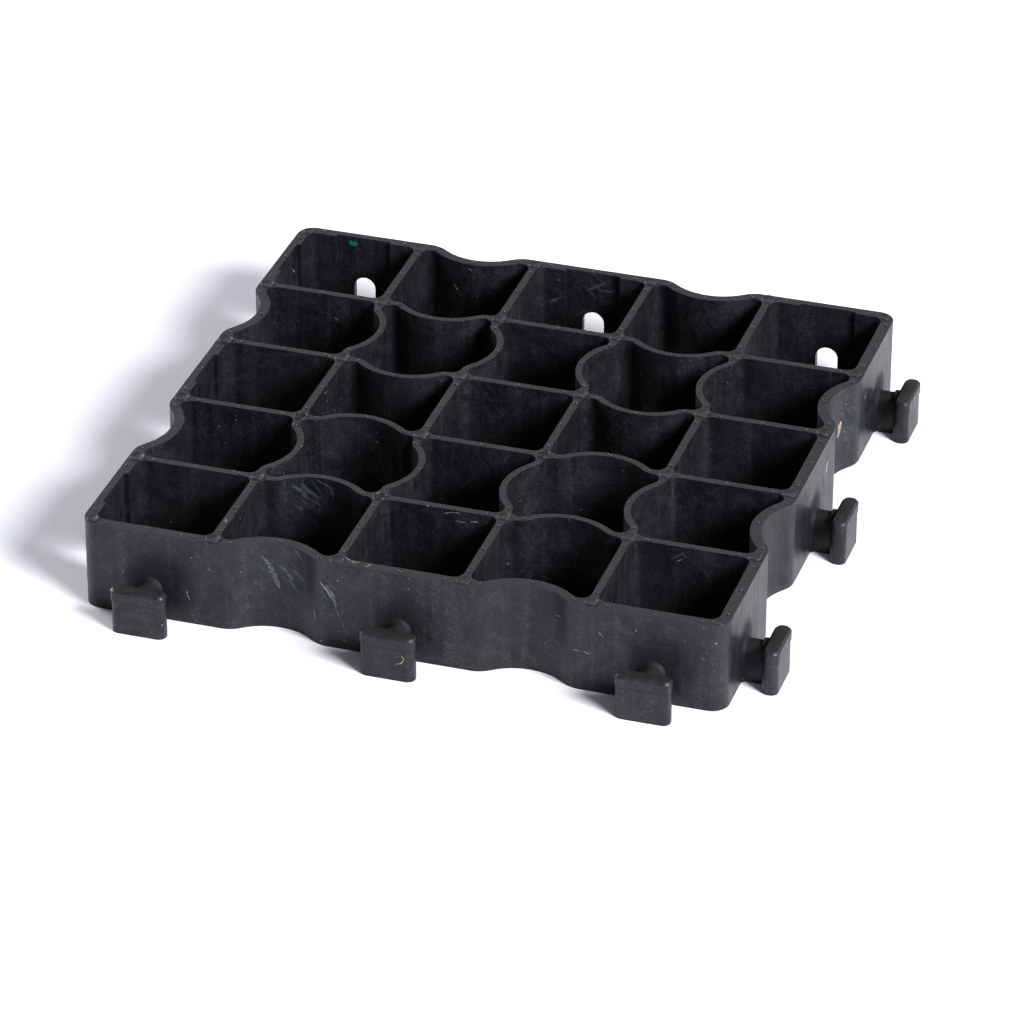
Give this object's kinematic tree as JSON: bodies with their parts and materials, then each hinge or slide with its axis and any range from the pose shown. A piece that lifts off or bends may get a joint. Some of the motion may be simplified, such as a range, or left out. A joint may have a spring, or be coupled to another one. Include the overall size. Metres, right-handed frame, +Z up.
{
  "type": "grass paver grid",
  "caption": "Square moulded plastic paving grid with open wavy-walled cells for soil and grass, and T-shaped tabs and arched slots that lock neighbouring tiles together.",
  "frame": {"origin": "on the underside, below the middle of the whole outline with the tabs included", "axes": "+Z up through the open cells, +X to the side with tabs on the right, -Y to the side with tabs at the front"},
  "size_m": [0.35, 0.35, 0.048],
  "materials": {
    "recycled_plastic": "matt black recycled plastic, dusty and scuffed"
  },
  "bodies": {
    "root": {"paver_grid": "recycled_plastic"}
  },
  "joints": []
}
